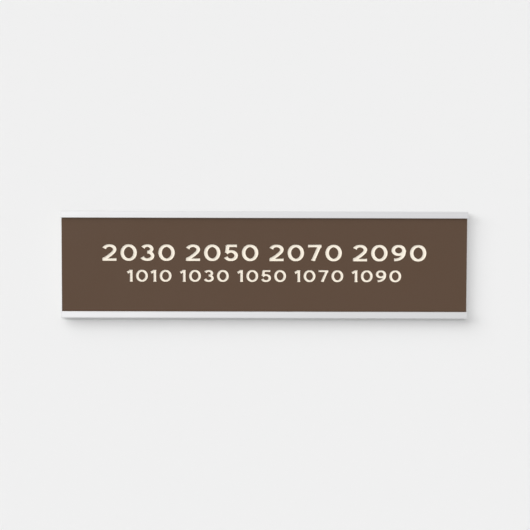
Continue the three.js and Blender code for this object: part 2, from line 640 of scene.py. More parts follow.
def from_bmesh(name: str, shape: bmesh.types.BMesh) -> Piece:
    """Turns a closed bmesh into an object whose faces point outwards.

    Args:
        name: The object's name.
        shape: The bmesh, which is freed.

    Returns:
        The object.
    """
    bmesh.ops.recalc_face_normals(shape, faces=shape.faces)
    mesh = bpy.data.meshes.new(name)
    shape.to_mesh(mesh)
    shape.free()
    return as_object(name, mesh)


def blank(name: str) -> Piece:
    """Makes an object with an empty mesh, for a tree to fill."""
    return as_object(name, bpy.data.meshes.new(name))


def loose_points(name: str, places: Sequence[Triple], **marks: tuple[str, Sequence[float]]) -> Piece:
    """Makes points for a tree to put things on.

    Args:
        name: The object's name.
        places: Where the points are.
        **marks: By name, each attribute's type and its value at every point.

    Returns:
        A mesh of loose points.
    """
    mesh = bpy.data.meshes.new(name)
    mesh.from_pydata(places, [], [])
    for mark, (kind, values) in marks.items():
        mesh.attributes.new(mark, kind, "POINT").data.foreach_set("value", values)
    return as_object(name, mesh)


def discard(objects: Iterable[Piece]) -> None:
    """Removes objects that only helped to make a piece."""
    for helper in list(objects):
        bpy.data.objects.remove(helper, do_unlink=True)


def freeze(piece: Piece) -> None:
    """Applies a piece's modifiers, so that a plain mesh is left.

    Args:
        piece: The object, with its modifiers live.
    """
    bpy.context.view_layer.update()
    evaluated = piece.evaluated_get(bpy.context.evaluated_depsgraph_get())
    made = bpy.data.meshes.new_from_object(evaluated)
    made.name = piece.name
    piece.modifiers.clear()
    piece.data = made


def grow(piece: Piece, tree: Tree, values: dict[str, Any]) -> Piece:
    """Runs a geometry node tree on a piece and keeps the result as a plain mesh.

    Args:
        piece: The object that the tree starts from.
        tree: The tree.
        values: The tree's inputs by name. Objects among them are discarded afterwards.

    Returns:
        The same object.
    """
    modifier = piece.modifiers.new(tree.name, "NODES")
    modifier.node_group = tree
    identifiers = {item.name: item.identifier for item in tree.interface.items_tree if item.in_out == "INPUT"}
    for name, value in values.items():
        modifier[identifiers[name]] = value
    freeze(piece)
    discard(value for value in values.values() if isinstance(value, Piece))
    return piece


def smooth(piece: Piece, crease: float = CREASE, edge: float = 0.0) -> None:
    """Eases sharp edges, and shades round faces smooth while flat ones stay flat.

    Args:
        piece: The object.
        crease: Edges that turn by more than this angle are sharp.
        edge: How wide a sharp edge is eased, or 0 to leave it.
    """
    if edge > 0.0:
        bevel = piece.modifiers.new("eased_edges", "BEVEL")
        bevel.width = edge
        bevel.segments = 2
        bevel.use_clamp_overlap = False
        bevel.limit_method = "ANGLE"
        bevel.angle_limit = EASED_FROM
        freeze(piece)
    piece.data.shade_smooth()
    piece.data.set_sharp_from_angle(angle=crease)
    piece.modifiers.new("flat_faces", "WEIGHTED_NORMAL").keep_sharp = True
    freeze(piece)


def turned(name: str, profile: Sequence[Point], segments: int) -> Piece:
    """Turns a profile about the Y axis into a closed mesh.

    Args:
        name: The object's name.
        profile: Points as (radius, y), which start and end on the axis.
        segments: How many faces go round.

    Returns:
        The object.
    """
    shape = bmesh.new()
    angles = [math.tau * i / segments for i in range(segments)]
    rings = []
    for radius, y in profile:
        if radius == 0.0:
            rings.append([shape.verts.new((0.0, y, 0.0))] * segments)
        else:
            rings.append([shape.verts.new((radius * math.cos(a), y, radius * math.sin(a))) for a in angles])
    for lower, upper in zip(rings, rings[1:]):
        for i in range(segments):
            j = (i + 1) % segments
            corners = dict.fromkeys((lower[i], lower[j], upper[j], upper[i]))
            shape.faces.new(list(corners))
    return from_bmesh(name, shape)


def arc(centre: Point, radii: Point, start: float, end: float, step: float = 8.0) -> list[Point]:
    """Points along an arc of an ellipse.

    Args:
        centre: The ellipse's centre.
        radii: Its two radii.
        start: The first point's angle, in degrees.
        end: The last point's angle.
        step: The largest step between points.

    Returns:
        The points, both ends included.
    """
    count = max(1, math.ceil(abs(end - start) / step))
    angles = [math.radians(start + (end - start) * i / count) for i in range(count + 1)]
    return [(centre[0] + radii[0] * math.cos(a), centre[1] + radii[1] * math.sin(a)) for a in angles]


def straight(start: Point, end: Point, count: int = 10) -> list[Point]:
    """Points along a line in some number of steps, both ends included."""
    shares = [i / count for i in range(count + 1)]
    return [tuple(a + (b - a) * t for a, b in zip(start, end)) for t in shares]


def bent(start: Point, pull: Point, end: Point, count: int = 12) -> list[Point]:
    """Points along a curve that leaves one point and reaches another, pulled towards a third.

    Args:
        start: The first point.
        pull: The point that it is pulled towards.
        end: The last point.
        count: How many steps it has.

    Returns:
        The points, both ends included.
    """
    shares = [i / count for i in range(count + 1)]
    weights = [((1 - t) ** 2, 2 * t * (1 - t), t**2) for t in shares]
    return [tuple(p * a + q * b + r * c for a, b, c in zip(start, pull, end)) for p, q, r in weights]


def dress(piece: Piece, finish: Finish, body: Body, replaces: Sequence[str]) -> None:
    """Hands a finished piece to the frame.

    Args:
        piece: The piece, with its place in its mesh.
        finish: What it is made of.
        body: The body that it rides on.
        replaces: The CAD nodes that it stands for.
    """
    piece.data.materials.clear()
    piece.data.materials.append(finish.material)
    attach(piece, body.value)
    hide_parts(*replaces)
    log.info("%s: %d faces, on %s, for %s", piece.name, len(piece.data.polygons), body.value, replaces)


# The fixings


def screw_tree() -> Tree:
    """Winds a thread round a screw's body and cuts the recess in its head.

    Returns:
        A tree with inputs Helix, Recess, Ridge Height, Ridge Foot, Ridge Crest and Finish.
    """
    inputs = {"Object": ["Helix", "Recess"], "Float": ["Ridge Height", "Ridge Foot", "Ridge Crest"]}
    graph, source = piece_group("screw", **inputs)
    trapezoid = {
        "Height": source("Ridge Height"),
        "Bottom Width": source("Ridge Foot"),
        "Top Width": source("Ridge Crest"),
        "Offset": 0.0,
    }
    ridge = graph.get("GeometryNodeCurvePrimitiveQuadrilateral", trapezoid, mode="TRAPEZOID")
    outward = graph.get("GeometryNodeTransform", {0: ridge, "Rotation": (0.0, 0.0, -math.pi / 2)})
    sweep = {
        "Curve": graph.shape_of(source("Helix")),
        "Profile Curve": outward,
        "Scale": graph.get("GeometryNodeInputRadius"),
        "Fill Caps": True,
    }
    wound = graph.get("GeometryNodeCurveToMesh", sweep)
    laid = graph.get("GeometryNodeTransform", {0: wound, "Rotation": (-math.pi / 2, 0.0, 0.0)})
    threaded = graph.boolean("UNION", laid, source("Geometry"))
    cut = graph.boolean("DIFFERENCE", threaded, graph.shape_of(source("Recess")))
    return graph.deliver(cut, source("Finish"))


@dataclass
class Screws:
    """The countersunk wood screws behind the insert.

    Attributes:
        turns: Each screw's node, with how far its recess is turned, in degrees.
        head_radius: The head's radius.
        rim: The height of the head's rim.
        rim_radius: How far the rim's edge is rounded.
        cone_angle: The countersink's full angle.
        seat_clearance: The gap between the head's cone and its seat, across the screw.
        head_setback: How far the head's face lies behind the web's.
        hole_radius: The radius of the hole in the web.
        hole_ease: How far the seat's mouth is eased.
        root_radius: The shank's radius between its threads.
        crest_radius: Its radius over its threads.
        pitch: The thread's pitch.
        neck: The bare shank between the head and the thread.
        tip: The length of the point.
        tip_bend: Where the point bends: its radius there as a share of the shank's, and its distance
            from the end as a share of the tip's length.
        tip_end: The radius and the height of the point's blunted end.
        ridge_foot: The thread's width at its root.
        ridge_crest: Its width at its crest.
        ridge_turns: The turns over which the thread rises to its full height.
        ridge_end: How far before the end it stops.
        ridge_fade: How much of its height it loses over the tip.
        ridge_least: The least share of its height that it has.
        ridge_steps: How many steps a turn of it has.
        recess_width: The cross recess's width at the head's face.
        recess_thickness: The width of one of its arms there.
        recess_depth: Its depth.
        recess_taper: Its width at its floor, as a share of its width at the head's face.
        reach: How far a cutter reaches past what it cuts.
        segments: How many faces go round.
    """

    turns: tuple[tuple[str, float], ...] = (("left_screw", 24.0), ("right_screw", -38.0))
    head_radius: float = 2.6 * MM
    rim: float = 0.12 * MM
    rim_radius: float = 0.07 * MM
    cone_angle: float = math.radians(82)
    seat_clearance: float = 0.1 * MM
    head_setback: float = 0.05 * MM
    hole_radius: float = 1.6 * MM
    hole_ease: float = 0.12 * MM
    root_radius: float = 0.98 * MM
    crest_radius: float = 1.39 * MM
    pitch: float = 1.15 * MM
    neck: float = 0.9 * MM
    tip: float = 3.0 * MM
    tip_bend: Point = (0.55, 0.4)
    tip_end: float = 0.05 * MM
    ridge_foot: float = 0.62 * MM
    ridge_crest: float = 0.07 * MM
    ridge_turns: float = 0.6
    ridge_end: float = 0.35 * MM
    ridge_fade: float = 0.72
    ridge_least: float = 0.12
    ridge_steps: int = 36
    recess_width: float = 2.9 * MM
    recess_thickness: float = 0.75 * MM
    recess_depth: float = 1.1 * MM
    recess_taper: float = 0.4
    reach: float = 1.0 * MM
    segments: int = 72

    @property
    def slope(self) -> float:
        """How fast the head's cone narrows."""
        return math.tan(self.cone_angle / 2)

    @property
    def cone_end(self) -> float:
        """How far behind the head's face its cone meets the shank."""
        return self.rim + (self.head_radius - self.root_radius) / self.slope

    def hole_places(self) -> Piece:
        """Makes the points where the web is drilled."""
        boxes = [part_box(node) for node, _ in self.turns]
        return loose_points("hole_places", [((a.x + b.x) / 2, 0.0, (a.z + b.z) / 2) for a, b in boxes])

    def hole_cutter(self, front: float, back: float) -> Piece:
        """Makes what one countersunk hole takes out of the web, with its axis along Y at the origin.

        Args:
            front: The y of the web's face.
            back: The y of the channel's back.

        Returns:
            The cutter.
        """
        seat = self.head_radius + self.seat_clearance + (self.head_setback + self.rim) * self.slope
        ease, reach = self.hole_ease, self.reach
        profile = [
            (0.0, front - reach),
            (seat + ease + reach, front - reach),
            (seat + ease, front),
            (seat - ease * self.slope, front + ease),
            (self.hole_radius, front + (seat - self.hole_radius) / self.slope),
            (self.hole_radius, back - ease),
            (self.hole_radius + ease + reach, back + reach),
            (0.0, back + reach),
        ]
        return turned("hole_cutter", profile, self.segments)

    def body(self, name: str, length: float) -> Piece:
        """Turns a screw's body without its thread, with its head's face at y = 0.

        Args:
            name: The piece's name.
            length: The screw's whole length.

        Returns:
            The body.
        """
        r = self.rim_radius
        profile = [
            (0.0, 0.0),
            *arc((self.head_radius - r, r), (r, r), -90, 0, step=30),
            (self.head_radius, self.rim),
            (self.root_radius, self.cone_end),
            (self.root_radius, length - self.tip),
            (self.root_radius * self.tip_bend[0], length - self.tip * self.tip_bend[1]),
            (self.tip_end, length - self.tip_end),
            (0.0, length),
        ]
        return turned(name, profile, self.segments)

    def helix(self, length: float) -> Piece:
        """Draws the thread's path about the Z axis, with its height there as the points' radii.

        Args:
            length: The screw's whole length.

        Returns:
            A curve whose normals point away from the axis.
        """
        start, end = self.cone_end + self.neck, length - self.ridge_end
        count = round((end - start) / self.pitch * self.ridge_steps)
        curve = bpy.data.curves.new("thread_path", "CURVE")
        curve.dimensions = "3D"
        curve.twist_mode = "Z_UP"
        spline = curve.splines.new("POLY")
        spline.points.add(count)
        for i, point in enumerate(spline.points):
            along = start + (end - start) * i / count
            angle = math.tau * i / self.ridge_steps
            past = max(0.0, (along - (length - self.tip)) / self.tip)
            radius = self.root_radius * (1.0 - past)
            run_in = min(1.0, i / (self.ridge_turns * self.ridge_steps))
            point.co = (radius * math.cos(angle), radius * math.sin(angle), along, 1.0)
            point.radius = max(self.ridge_least, run_in * (1.0 - self.ridge_fade * past))
        return as_object("thread_path", curve)

    def recess(self, turn: float) -> Piece:
        """Makes the two crossed, tapering blades that cut the recess.

        Args:
            turn: How far the cross is turned about the screw's axis.

        Returns:
            One mesh of both blades.
        """
        widen = 1.0 + self.reach * (1.0 - self.recess_taper) / self.recess_depth
        shape = bmesh.new()
        for angle in (turn, turn + math.pi / 2):
            spin = Matrix.Rotation(angle, 3, "Y")
            rings = []
            for share, y in ((widen, -self.reach), (self.recess_taper, self.recess_depth)):
                x, z = self.recess_width / 2 * share, self.recess_thickness / 2 * share
                ring = ((x, y, z), (-x, y, z), (-x, y, -z), (x, y, -z))
                rings.append([shape.verts.new(spin @ Vector(corner)) for corner in ring])
            for i in range(4):
                j = (i + 1) % 4
                shape.faces.new((rings[0][i], rings[0][j], rings[1][j], rings[1][i]))
            for ring in rings:
                shape.faces.new(ring)
        return from_bmesh("recess", shape)

    def build(self) -> None:
        """Makes both screws in place of their nodes."""
        tree = screw_tree()
        for node, turn in self.turns:
            low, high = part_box(node)
            length = high.y - low.y
            piece = self.body(f"threaded_{node}", length)
            values = {
                "Helix": self.helix(length),
                "Recess": self.recess(math.radians(turn)),
                "Ridge Height": 2 * (self.crest_radius - self.root_radius),
                "Ridge Foot": 2 * self.ridge_foot,
                "Ridge Crest": self.ridge_crest,
                "Finish": ZINC.material,
            }
            grow(piece, tree, values)
            face = Vector(((low.x + high.x) / 2, low.y, (low.z + high.z) / 2))
            piece.data.transform(Matrix.Translation(face))
            smooth(piece)
            dress(piece, ZINC, Body.HOLDER, [node])


def pad_tree() -> Tree:
    """Presses a die-cut square of foam, whose cut sides bulge and ripple a little.

    Returns:
        A tree with inputs Size, Middle, Bulge, Ripple, Ripple Length, Seed, Edge Points, Layers and
        Finish. The pad's widest outline is its size.
    """
    inputs = {
        "Vector": ["Size", "Middle"],
        "Float": ["Bulge", "Ripple", "Ripple Length"],
        "Int": ["Seed", "Edge Points", "Layers"],
    }
    graph, source = piece_group("die_cut_pad", **inputs)
    grid = {
        "Size": source("Size"),
        "Vertices X": source("Edge Points"),
        "Vertices Y": source("Layers"),
        "Vertices Z": source("Edge Points"),
    }
    square = graph.get("GeometryNodeMeshCube", grid)
    place = graph.get("GeometryNodeInputPosition")
    width, thickness, _ = graph.parts(source("Size"))
    x, depth, z = graph.parts(place)
    share = graph.math("DIVIDE", depth, graph.math("MULTIPLY", thickness, 0.5))
    roundness = graph.math("SQRT", graph.math("SUBTRACT", 1.0, graph.math("MULTIPLY", share, share)))
    swell = graph.math("MULTIPLY", source("Bulge"), roundness)
    noise = {
        "Vector": place,
        "W": source("Seed"),
        "Scale": graph.math("DIVIDE", 1.0, source("Ripple Length")),
        "Detail": 1.0,
    }
    ripples = graph.get("ShaderNodeTexNoise", noise, noise_dimensions="4D")
    wave = graph.math("MULTIPLY", ripples, source("Ripple"))
    inset = graph.math("ADD", graph.math("SUBTRACT", source("Bulge"), swell), wave)
    drawn_in = graph.math("DIVIDE", inset, graph.math("MULTIPLY", width, 0.5))
    spread = graph.math("SUBTRACT", 1.0, drawn_in)
    pressed = graph.vector(graph.math("MULTIPLY", x, spread), depth, graph.math("MULTIPLY", z, spread))
    moved = graph.get("ShaderNodeVectorMath", {0: pressed, 1: source("Middle")}, operation="ADD")
    pad = graph.get("GeometryNodeSetPosition", {0: square, "Position": moved})
    return graph.deliver(pad, source("Finish"))


@dataclass
class FoamPads:
    """The foam mounting pads, die-cut from sheet and pressed against the door.

    Attributes:
        nodes: The pads' CAD nodes.
        bulge: How far the middle of a cut side stands past its rims.
        ripple: How unevenly the die left it.
        ripple_length: The length of that unevenness.
        seed: The first pad's seed. The next pads count on from it.
        edge_points: How many points a side has.
        layers: How many rings of points a cut side has.
        crease: Edges that turn by more than this angle are sharp.
    """

    nodes: tuple[str, ...] = ("left_foam_pad", "centre_foam_pad", "right_foam_pad")
    bulge: float = 0.09 * MM
    ripple: float = 0.07 * MM
    ripple_length: float = 1.4 * MM
    seed: int = 7
    edge_points: int = 45
    layers: int = 9
    crease: float = math.radians(50)

    def build(self) -> None:
        """Makes every pad in place of its node."""
        tree = pad_tree()
        for number, node in enumerate(self.nodes):
            low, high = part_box(node)
            values = {
                "Size": high - low,
                "Middle": (low + high) / 2,
                "Bulge": self.bulge,
                "Ripple": self.ripple,
                "Ripple Length": self.ripple_length,
                "Seed": self.seed + number,
                "Edge Points": self.edge_points,
                "Layers": self.layers,
                "Finish": WHITE_FOAM.material,
            }
            piece = grow(blank(f"die_cut_{node}"), tree, values)
            smooth(piece, self.crease)
            dress(piece, WHITE_FOAM, Body.HOLDER, [node])


# The channel


def extrusion_tree() -> Tree:
    """Draws a section out along X, rounds its corners and takes holes out of it.

    Returns:
        A tree with inputs Section, Hole Cutter, Hole Places, Length, Back, Corner Detail and Finish. The
        section's point radii are its roundings, and a rounding gets more steps the larger it is.
    """
    inputs = {
        "Object": ["Section", "Hole Cutter", "Hole Places"],
        "Float": ["Length", "Back", "Corner Detail"],
    }
    graph, source = piece_group("extrusion", **inputs)
    radius = graph.get("GeometryNodeInputRadius")
    fillet = {
        "Curve": graph.shape_of(source("Section")),
        "Count": graph.math("ADD", graph.math("MULTIPLY", radius, source("Corner Detail")), 1.0),
        "Radius": radius,
        "Limit Radius": True,
    }
    rounded = graph.get("GeometryNodeFilletCurve", fillet, mode="POLY")
    start, end = (
        graph.vector(graph.math("MULTIPLY", source("Length"), side), source("Back")) for side in (-0.5, 0.5)
    )
    path = graph.get("GeometryNodeCurvePrimitiveLine", {"Start": start, "End": end})
    sweep = {"Curve": path, "Profile Curve": rounded, "Fill Caps": True}
    drawn = graph.get("GeometryNodeCurveToMesh", sweep)
    places, cutter = (graph.shape_of(source(f"Hole {name}")) for name in ("Places", "Cutter"))
    holes = graph.scattered({"Points": places, "Instance": cutter})
    drilled = graph.boolean("DIFFERENCE", drawn, holes, crossing=False)
    return graph.deliver(drilled, source("Finish"))


@dataclass
class Channel:
    """The extruded channel: a web behind the insert, and a lip over each of its long edges.

    Attributes:
        web: The web's thickness at its rails.
        lip: A lip's thickness.
        edge_wall: The wall above and below the slot.
        lip_overlap: How much of the slot a lip hides.
        rail: The height of the band that the insert runs on.
        relief: How much deeper the web lies between its rails.
        outer_radius: The rounding of the front outer corners.
        back_radius: The rounding of the back corners.
        lip_radius: The rounding of the lips' visible edges.
        inner_radius: The rounding of every other corner.
        corner_detail: How many steps a rounding gets for each metre of its radius.
        scribe_width: The width of the grooves along the back.
        scribe_depth: Their depth.
        scribe_offset: How far each lies from the middle of the back.
        saw_edge: How far the cut ends are eased.
    """

    web: float = 1.8 * MM
    lip: float = 1.2 * MM
    edge_wall: float = 1.25 * MM
    lip_overlap: float = 2.1 * MM
    rail: float = 6.0 * MM
    relief: float = 0.3 * MM
    outer_radius: float = 0.3 * MM
    back_radius: float = 0.3 * MM
    lip_radius: float = 0.35 * MM
    inner_radius: float = 0.07 * MM
    corner_detail: float = 15 / MM
    scribe_width: float = 0.9 * MM
    scribe_depth: float = 0.35 * MM
    scribe_offset: float = 19.0 * MM
    saw_edge: float = 0.06 * MM

    def section(self, depth: float, half_height: float) -> Piece:
        """Draws the section, x as depth from the back and y as height, with each corner's rounding.

        Args:
            depth: The channel's depth from back to front.
            half_height: Half of its height.

        Returns:
            A closed curve whose point radii are the roundings.
        """
        slot_end = half_height - self.edge_wall
        lip_back = depth - self.lip
        inner = self.inner_radius
        upper = [
            (0.0, self.scribe_offset - self.scribe_width / 2, inner),
            (self.scribe_depth, self.scribe_offset, inner),
            (0.0, self.scribe_offset + self.scribe_width / 2, inner),
            (0.0, half_height, self.back_radius),
            (depth, half_height, self.outer_radius),
            (depth, slot_end - self.lip_overlap, self.lip_radius),
            (lip_back, slot_end - self.lip_overlap, inner),
            (lip_back, slot_end, inner),
            (self.web, slot_end, inner),
            (self.web, slot_end - self.rail, inner),
            (self.web - self.relief, slot_end - self.rail, inner),
        ]
        corners = upper + [(x, -y, radius) for x, y, radius in reversed(upper)]
        curve = bpy.data.curves.new("channel_section", "CURVE")
        spline = curve.splines.new("POLY")
        spline.points.add(len(corners) - 1)
        spline.use_cyclic_u = True
        for point, (x, y, radius) in zip(spline.points, corners):
            point.co = (x, y, 0.0, 1.0)
            point.radius = radius
        return as_object("channel_section", curve)

    def build(self, screws: Screws) -> None:
        """Makes the channel in place of its node.

        Args:
            screws: The screws, whose holes go through the web.
        """
        low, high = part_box("channel")
        values = {
            "Section": self.section(high.y - low.y, (high.z - low.z) / 2),
            "Hole Cutter": screws.hole_cutter(high.y - self.web + self.relief, high.y),
            "Hole Places": screws.hole_places(),
            "Length": high.x - low.x,
            "Back": high.y,
            "Corner Detail": self.corner_detail,
            "Finish": ALUMINIUM.material,
        }
        piece = grow(blank("extruded_channel"), extrusion_tree(), values)
        smooth(piece, edge=self.saw_edge)
        dress(piece, ALUMINIUM, Body.HOLDER, ["channel"])


# The engraved numbers


@dataclass(frozen=True)
class Pen:
    """The engraver's pen, in cap heights.

    Attributes:
        upright: The width of an upright stroke.
        level: The width of a level stroke.
        flare: How much a loose end widens, as a share of its width.
        flare_length: How long the widening is.
    """

    upright: float = 0.215
    level: float = 0.145
    flare: float = 0.26
    flare_length: float = 0.15

    def half_width(self, direction: Vector, to_end: float) -> float:
        """Half of the stroke's width at a point.

        Args:
            direction: Which way the stroke runs there.
            to_end: How far off its nearer loose end is.

        Returns:
            Half of the width, in cap heights.
        """
        width = self.level + (self.upright - self.level) * abs(direction.y)
        near = max(0.0, 1.0 - to_end / self.flare_length)
        return width / 2 * (1.0 + self.flare * near**2)


@dataclass(frozen=True)
class Digit:
    """A digit, in cap heights from its lower left corner.

    Attributes:
        width: Its width.
        strokes: The middle line of each stroke. A closed one ends where it starts.
    """

    width: float
    strokes: Sequence[list[Point]]


@dataclass(frozen=True)
class Numerals:
    """The wide, lightly flared digits that the plate is engraved with.

    Attributes:
        pen: The pen that they are cut with.
        waist: The height of the waist of a 3.
        join: A stroke is closed if its ends lie nearer to each other than this.
    """

    pen: Pen = Pen()
    waist: float = 0.53
    join: float = 1e-6

    def digits(self) -> dict[str, Digit]:
        """Designs each digit that the plate uses.

        Returns:
            The designs, by digit.
        """
        u, v = self.pen.upright / 2, self.pen.level / 2
        top = 1 - v
        upper, lower = (self.waist + 1 - v) / 2, (self.waist + v) / 2
        strokes = {
            "0": (1.0, arc((0.5, 0.5), (0.5 - u, 0.5 - v), 90, 450)),
            "1": (0.46, straight((0.32, 0.0), (0.32, 1.0)), straight((0.0, 0.76), (0.29, 0.94))),
            "2": (
                0.86,
                arc((0.43, 0.70), (0.43 - u, 0.30 - v), 166, -30)[:-1]
                + bent((0.71, 0.575), (0.55, 0.37), (0.07, 0.09)),
                straight((0.0, v), (0.86, v)),
            ),
            "3": (
                0.82,
                arc((0.39, upper), (0.38 - u, 1 - v - upper), 160, -90),
                arc((0.39, lower), (0.43 - u, lower - v), 90, -162),
            ),
            "5": (
                0.82,
                straight((0.13, top), (0.76, top)),
                straight((0.20, top), (0.15, 0.50)),
                arc((0.39, 0.33), (0.43 - u, 0.33 - v), 146, -160),
            ),
            "7": (0.82, straight((0.0, top), (0.82, top)), straight((0.70, top), (0.30, 0.0))),
            "9": (
                0.88,
                arc((0.43, 0.67), (0.43 - u, 0.33 - v), 90, 450),
                bent((0.76, 0.67), (0.80, 0.12), (0.16, v + 0.01)),
            ),
        }
        return {name: Digit(width, lines) for name, (width, *lines) in strokes.items()}

    def ribbon(self, shape: bmesh.types.BMesh, line: Sequence[Point]) -> None:
        """Adds one stroke as a closed prism that reaches one unit each way along Y.

        Args:
            shape: The bmesh to add to.
            line: The stroke's middle line.
        """
        points = [Vector(p) for p in line]
        closed = (points[0] - points[-1]).length < self.join
        if closed:
            points.pop()
        count = len(points)
        lengths = [0.0]
        for a, b in zip(points, points[1:]):
            lengths.append(lengths[-1] + (b - a).length)
        corners = []
        for i, point in enumerate(points):
            before = points[i - 1] if closed or i > 0 else point
            after = points[(i + 1) % count] if closed or i < count - 1 else point
            direction = (after - before).normalized()
            to_end = 1.0 if closed else min(lengths[i], lengths[-1] - lengths[i])
            across = Vector((-direction.y, direction.x)) * self.pen.half_width(direction, to_end)
            pair = (point + across, point - across)
            ring = [(p.x, y, min(1.0, max(0.0, p.y))) for y in (-1.0, 1.0) for p in pair]
            corners.append([shape.verts.new(corner) for corner in ring])
        for i in range(count if closed else count - 1):
            a, b = corners[i], corners[(i + 1) % count]
            for m, n in ((0, 1), (1, 3), (3, 2), (2, 0)):
                shape.faces.new((a[m], a[n], b[n], b[m]))
        if not closed:
            for end in (corners[0], corners[-1]):
                shape.faces.new((end[0], end[1], end[3], end[2]))

    def cutters(self) -> tuple[bpy.types.Collection, dict[str, int]]:
        """Makes a cutter for each digit.

        Returns:
            A collection of the cutters, and each digit's number in it.
        """
        collection = bpy.data.collections.new("digit_cutters")
        designs = self.digits()
        for name, digit in designs.items():
            shape = bmesh.new()
            for line in digit.strokes:
                self.ribbon(shape, line)
            cutter = from_bmesh(f"digit_{name}", shape)
            collection.objects.link(cutter)
            bpy.context.scene.collection.objects.unlink(cutter)
        return collection, {name: i for i, name in enumerate(sorted(designs))}


@dataclass(frozen=True)
class NumberRow:
    """A centred row of room numbers.

    Attributes:
        numbers: The numbers, in reading order.
        cap_height: Their height.
        middle: The height of the row's middle above the plate's.
        width: How wide the whole row is.
        tracking: The gap between the digits of one number.
    """

    numbers: tuple[str, ...]
    cap_height: float
    middle: float
    width: float
    tracking: float

    def places(self, digits: dict[str, Digit]) -> list[tuple[str, float, float]]:
        """Works out where each digit goes, with even gaps between the numbers.

        Args:
            digits: The digits' designs.

        Returns:
            For each digit its name and the x and z of its lower left corner.
        """
        spans = [
            sum(digits[d].width * self.cap_height for d in number) + self.tracking * (len(number) - 1)
            for number in self.numbers
        ]
        gap = (self.width - sum(spans)) / (len(self.numbers) - 1)
        x, placed = -self.width / 2, []
        for number, span in zip(self.numbers, spans):
            inside = x
            for name in number:
                placed.append((name, inside, self.middle - self.cap_height / 2))
                inside += digits[name].width * self.cap_height + self.tracking
            x += span + gap
        return placed


def engraving_tree() -> Tree:
    """Cuts digits into the front of a sheet.

    Returns:
        A tree with inputs Places, Cutters, Depth and Finish. Places are points with the attributes
        digit and size.
    """
    inputs = {"Object": ["Places"], "Collection": ["Cutters"], "Float": ["Depth"]}
    graph, source = piece_group("engraving", **inputs)
    choice = {"Collection": source("Cutters"), "Separate Children": True, "Reset Children": True}
    digit, size = (
        graph.get("GeometryNodeInputNamedAttribute", {"Name": name}, data_type=kind)
        for name, kind in (("digit", "INT"), ("size", "FLOAT"))
    )
    layout = {
        "Points": graph.shape_of(source("Places")),
        "Instance": graph.get("GeometryNodeCollectionInfo", choice),
        "Pick Instance": True,
        "Instance Index": digit,
        "Scale": graph.vector(size, source("Depth"), size),
    }
    engraved = graph.boolean("DIFFERENCE", source("Geometry"), graph.scattered(layout))
    return graph.deliver(engraved, source("Finish"))


@dataclass
class Insert:
    """The two-ply insert, engraved through its brown cap into its pale core.

    Attributes:
        rows: The rows of numbers.
        numerals: The digits' design.
        cap_cut: How deep the cutter goes at the cap, which is more than its thickness.
        core_cut: How far it goes on into the core.
        eased_edge: How far the outer edges are eased.
    """

    rows: tuple[NumberRow, ...] = (
        NumberRow(("2030", "2050", "2070", "2090"), 8.2 * MM, 6.0 * MM, 162 * MM, 2.0 * MM),
        NumberRow(("1010", "1030", "1050", "1070", "1090"), 5.9 * MM, -5.6 * MM, 137 * MM, 1.6 * MM),
    )
    numerals: Numerals = field(default_factory=Numerals)
    cap_cut: float = 0.35 * MM
    core_cut: float = 0.12 * MM
    eased_edge: float = 0.1 * MM

    def slab(self, name: str, node: str, outer_side: int) -> Piece:
        """Makes a sheet as large as a node, with the edges on one of its faces eased.

        Args:
            name: The sheet's name.
            node: The CAD node.
            outer_side: -1 if the eased face is the front one, and 1 if it is the back one.

        Returns:
            The sheet.
        """
        low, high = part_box(node)
        middle = (low + high) / 2
        shape = bmesh.new()
        size = Matrix.Diagonal((*(high - low), 1.0))
        bmesh.ops.create_cube(shape, size=1.0, matrix=Matrix.Translation(middle) @ size)
        outer = [e for e in shape.edges if all((v.co.y - middle.y) * outer_side > 0 for v in e.verts)]
        bmesh.ops.bevel(shape, geom=outer, offset=self.eased_edge, segments=2, affect="EDGES", profile=0.5)
        return from_bmesh(name, shape)

    def places(self, front: float, order: dict[str, int]) -> Piece:
        """Makes the points where the digits go.

        Args:
            front: The y of the face that is engraved.
            order: Each digit's number among the cutters.

        Returns:
            A mesh of loose points, with the attributes digit and size.
        """
        digits = self.numerals.digits()
        placed = [(*place, row.cap_height) for row in self.rows for place in row.places(digits)]
        return loose_points(
            "digit_places",
            [(x, front, z) for _, x, z, _ in placed],
            digit=("INT", [order[name] for name, _, _, _ in placed]),
            size=("FLOAT", [size for _, _, _, size in placed]),
        )

    def build(self) -> None:
        """Makes both plies in place of their nodes."""
        cutters, order = self.numerals.cutters()
        tree = engraving_tree()
        plies = (
            ("engraved_cap", "insert_face_ply", BROWN_CAP, Slot.FACE, self.cap_cut, -1),
            ("engraved_core", "insert_core", CREAM_CORE, Slot.CORE, self.core_cut, 1),
        )
        for name, node, finish, slot, depth, outer_side in plies:
            piece = self.slab(name, node, outer_side)
            places = self.places(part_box(node)[0].y, order)
            values = {"Places": places, "Cutters": cutters, "Depth": depth, "Finish": finish.material}
            grow(piece, tree, values)
            smooth(piece)
            dress(piece, finish, Body.INSERT, [node])
        discard(cutters.objects)
        bpy.data.collections.remove(cutters)


# The studio


